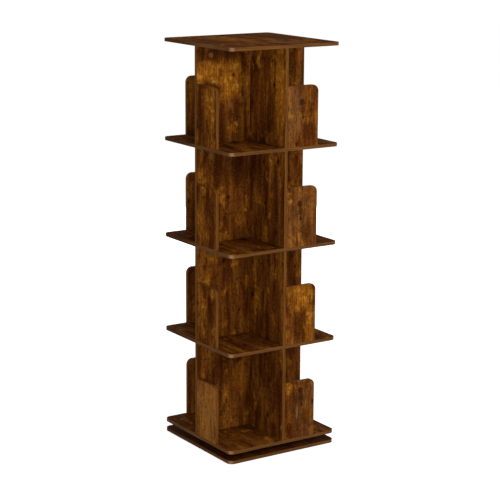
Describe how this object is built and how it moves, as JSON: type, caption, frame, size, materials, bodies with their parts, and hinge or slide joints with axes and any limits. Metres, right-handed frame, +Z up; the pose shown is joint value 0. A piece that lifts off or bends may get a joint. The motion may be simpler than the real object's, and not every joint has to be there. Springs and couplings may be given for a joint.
{
  "type": "revolving bookcase",
  "caption": "Tall square revolving bookcase: open tiers of corner compartments between crossed dividers, with low stop panels set like a pinwheel, on a swivel base.",
  "frame": {"origin": "on the floor, under the middle of the base board", "axes": "+Z up, along the axis that the bookcase turns about; -Y is the front face, with its stop panels right of the divider; +X is the right face"},
  "size_m": [0.46, 0.46, 1.484],
  "materials": {
    "level_board": "rustic brown printed melamine on particleboard, grain along Y",
    "top_board": "rustic brown printed melamine on particleboard, grain along Y",
    "upright_board": "rustic brown printed melamine on particleboard, upright grain",
    "edge_band": "brown printed edge banding, satin",
    "raw_board": "plain particleboard",
    "beech": "fluted beech dowel, untreated",
    "zinc_steel": "zinc-plated",
    "ball_steel": "polished",
    "cast_zinc": "as cast",
    "cage_plastic": "natural",
    "cover_cap": "moulded brown, satin",
    "foot_pad": "matt"
  },
  "bodies": {
    "base": {"base_board": "level_board", "base_edge_band": "edge_band", "foot_pads": "foot_pad", "swivel_lower_plate": "zinc_steel", "swivel_lower_screws": "zinc_steel", "swivel_pivot_bolt": "zinc_steel", "swivel_washer": "zinc_steel", "swivel_lock_nut": "zinc_steel"},
    "ball_ring": {"swivel_balls": "ball_steel", "swivel_cage": "cage_plastic"},
    "tower": {"swivel_upper_plate": "zinc_steel", "swivel_upper_screws": "zinc_steel", "spacer_board": "raw_board", "spacer_screws": "zinc_steel", "bottom_shelf": "level_board", "shelf_1": "level_board", "shelf_2": "level_board", "shelf_3": "level_board", "top_board": "top_board", "shelf_edge_bands": "edge_band", "stop_panel_edge_bands": "edge_band", "divider_edge_bands": "edge_band", "divider_dowels": "beech", "cross_dowels": "beech", "stop_panel_dowels": "beech", "divider_screws": "zinc_steel", "stop_panel_screws": "zinc_steel", "cam_bolts": "zinc_steel", "cam_locks": "cast_zinc", "cam_covers": "cover_cap", "tier_1_full_divider": "upright_board", "tier_1_front_divider": "upright_board", "tier_1_back_divider": "upright_board", "tier_1_front_stop_panel": "upright_board", "tier_1_right_stop_panel": "upright_board", "tier_1_back_stop_panel": "upright_board", "tier_1_left_stop_panel": "upright_board", "tier_2_full_divider": "upright_board", "tier_2_front_divider": "upright_board", "tier_2_back_divider": "upright_board", "tier_2_front_stop_panel": "upright_board", "tier_2_right_stop_panel": "upright_board", "tier_2_back_stop_panel": "upright_board", "tier_2_left_stop_panel": "upright_board", "tier_3_full_divider": "upright_board", "tier_3_front_divider": "upright_board", "tier_3_back_divider": "upright_board", "tier_3_front_stop_panel": "upright_board", "tier_3_right_stop_panel": "upright_board", "tier_3_back_stop_panel": "upright_board", "tier_3_left_stop_panel": "upright_board", "tier_4_full_divider": "upright_board", "tier_4_front_divider": "upright_board", "tier_4_back_divider": "upright_board", "tier_4_front_stop_panel": "upright_board", "tier_4_right_stop_panel": "upright_board", "tier_4_back_stop_panel": "upright_board", "tier_4_left_stop_panel": "upright_board"}
  },
  "joints": [
    {"name": "tower_turn", "type": "hinge", "parent": "base", "child": "tower", "pos_m": [0, 0, 0.028], "axis": [0, 0, 1], "continuous": true},
    {"name": "ball_ring_turn", "type": "hinge", "parent": "base", "child": "ball_ring", "pos_m": [0, 0, 0.0215], "axis": [0, 0, 1], "continuous": true}
  ],
  "couplings": [
    {"joint": "ball_ring_turn", "follows": "tower_turn", "ratio": 0.5}
  ]
}
